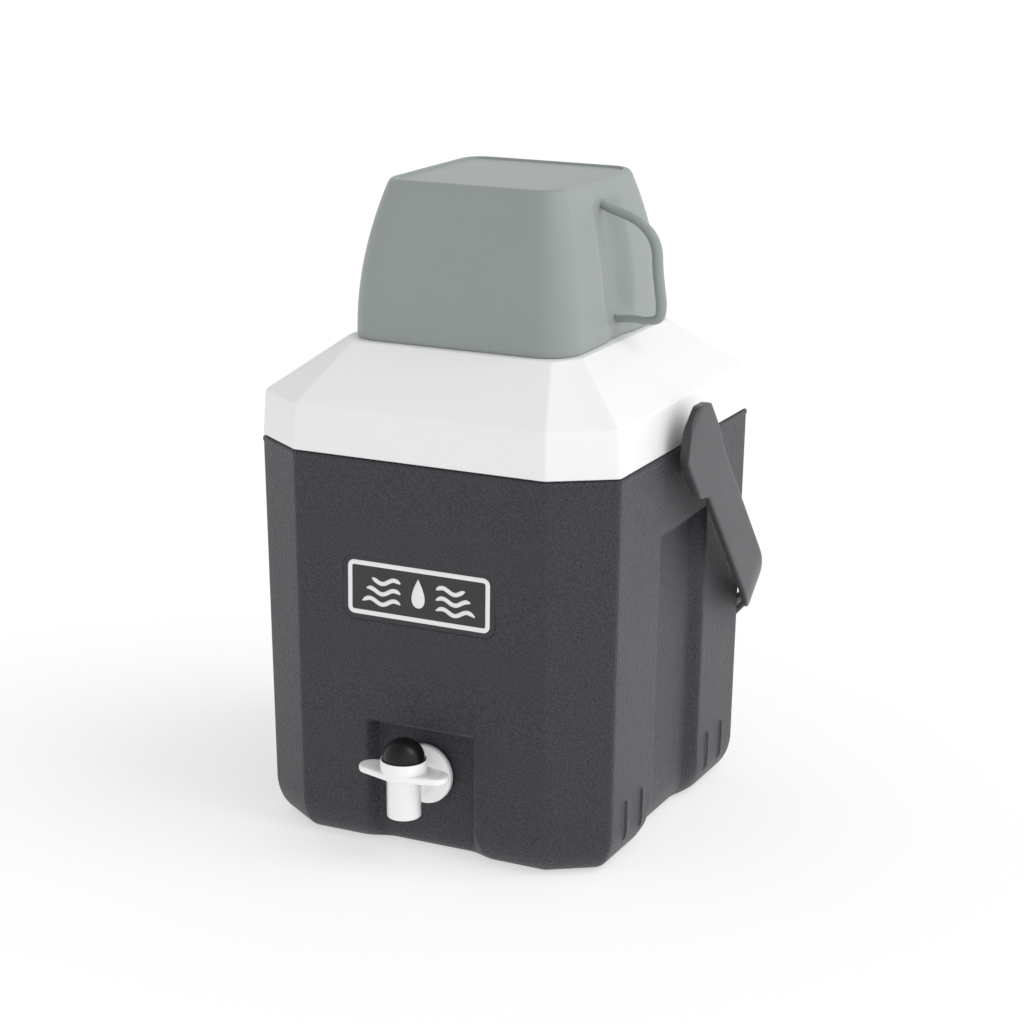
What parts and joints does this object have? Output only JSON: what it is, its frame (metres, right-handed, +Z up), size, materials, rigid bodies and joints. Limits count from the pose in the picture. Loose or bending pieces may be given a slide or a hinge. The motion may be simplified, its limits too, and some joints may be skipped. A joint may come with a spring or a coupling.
{
  "type": "insulated water jug",
  "caption": "Insulated octagonal water jug with a white top, a carry bail, a push-button tap at the foot and an upside-down drinking cup over the filler stopper.",
  "frame": {"origin": "centre of the flat base, at the level of the surface the jug stands on", "axes": "+Z up, -Y the front with the tap, +X to the side that the cup's handle points to; the bail's pivot axis is along X"},
  "size_m": [0.2272, 0.2538, 0.336],
  "materials": {
    "shell_charcoal": "matte pebble grain",
    "handle_charcoal": "satin",
    "top_white": "satin",
    "cup_sage": "matte",
    "liner_white": "satin",
    "foam": "cellular",
    "badge_dark": "satin",
    "tap_white": "gloss",
    "button_black": "satin",
    "seal_rubber": "matte",
    "gasket_grey": "matte",
    "spring_steel": "bright wire",
    "socket_dark": "satin"
  },
  "bodies": {
    "jug": {"outer_shell": "shell_charcoal", "inner_liner": "liner_white", "foam_insulation": "foam", "foam_plug": "socket_dark", "badge_plate": "badge_dark", "top_cover": "top_white", "top_liner": "liner_white", "top_foam": "foam", "rim_gasket": "gasket_grey", "filler_neck": "top_white", "pivot_socket_left": "socket_dark", "pivot_socket_right": "socket_dark", "pivot_washer_left": "liner_white", "pivot_washer_right": "liner_white", "tap_body": "tap_white", "stem_guide": "liner_white", "return_spring": "spring_steel", "tap_outer_washer": "seal_rubber", "tap_inner_washer": "seal_rubber", "tap_nut": "tap_white"},
    "bail": {"bail_handle": "handle_charcoal"},
    "drinking_cup": {"cup": "cup_sage"},
    "stopper_seal": {"stopper_gasket": "gasket_grey"},
    "stopper": {"stopper_cap": "top_white", "stopper_foam": "foam", "stopper_base": "liner_white"},
    "push_button": {"tap_button": "button_black", "valve_stem": "liner_white", "valve_seal": "seal_rubber"}
  },
  "joints": [
    {"name": "bail_swing", "type": "hinge", "parent": "jug", "child": "bail", "pos_m": [0, 0, 0.198], "axis": [1, 0, 0], "range_deg": [0, 268]},
    {"name": "cup_lift", "type": "slide", "parent": "jug", "child": "drinking_cup", "axis": [0, 0, 1], "range_m": [0, 0.1]},
    {"name": "stopper_rise", "type": "slide", "parent": "jug", "child": "stopper_seal", "axis": [0, 0, 1], "range_m": [0, 0.0151]},
    {"name": "stopper_turn", "type": "hinge", "parent": "stopper_seal", "child": "stopper", "pos_m": [0, 0, 0.2672], "axis": [0, 0, 1], "range_deg": [0, 900]},
    {"name": "button_press", "type": "slide", "parent": "jug", "child": "push_button", "axis": [0, 0, -1], "range_m": [0, 0.004], "stiffness_N_per_m": 700, "springref_m": -0.004, "deforming": ["return_spring"]}
  ],
  "couplings": [
    {"joint": "stopper_rise", "follows": "stopper_turn", "m_per_rad": 0.00095493}
  ]
}
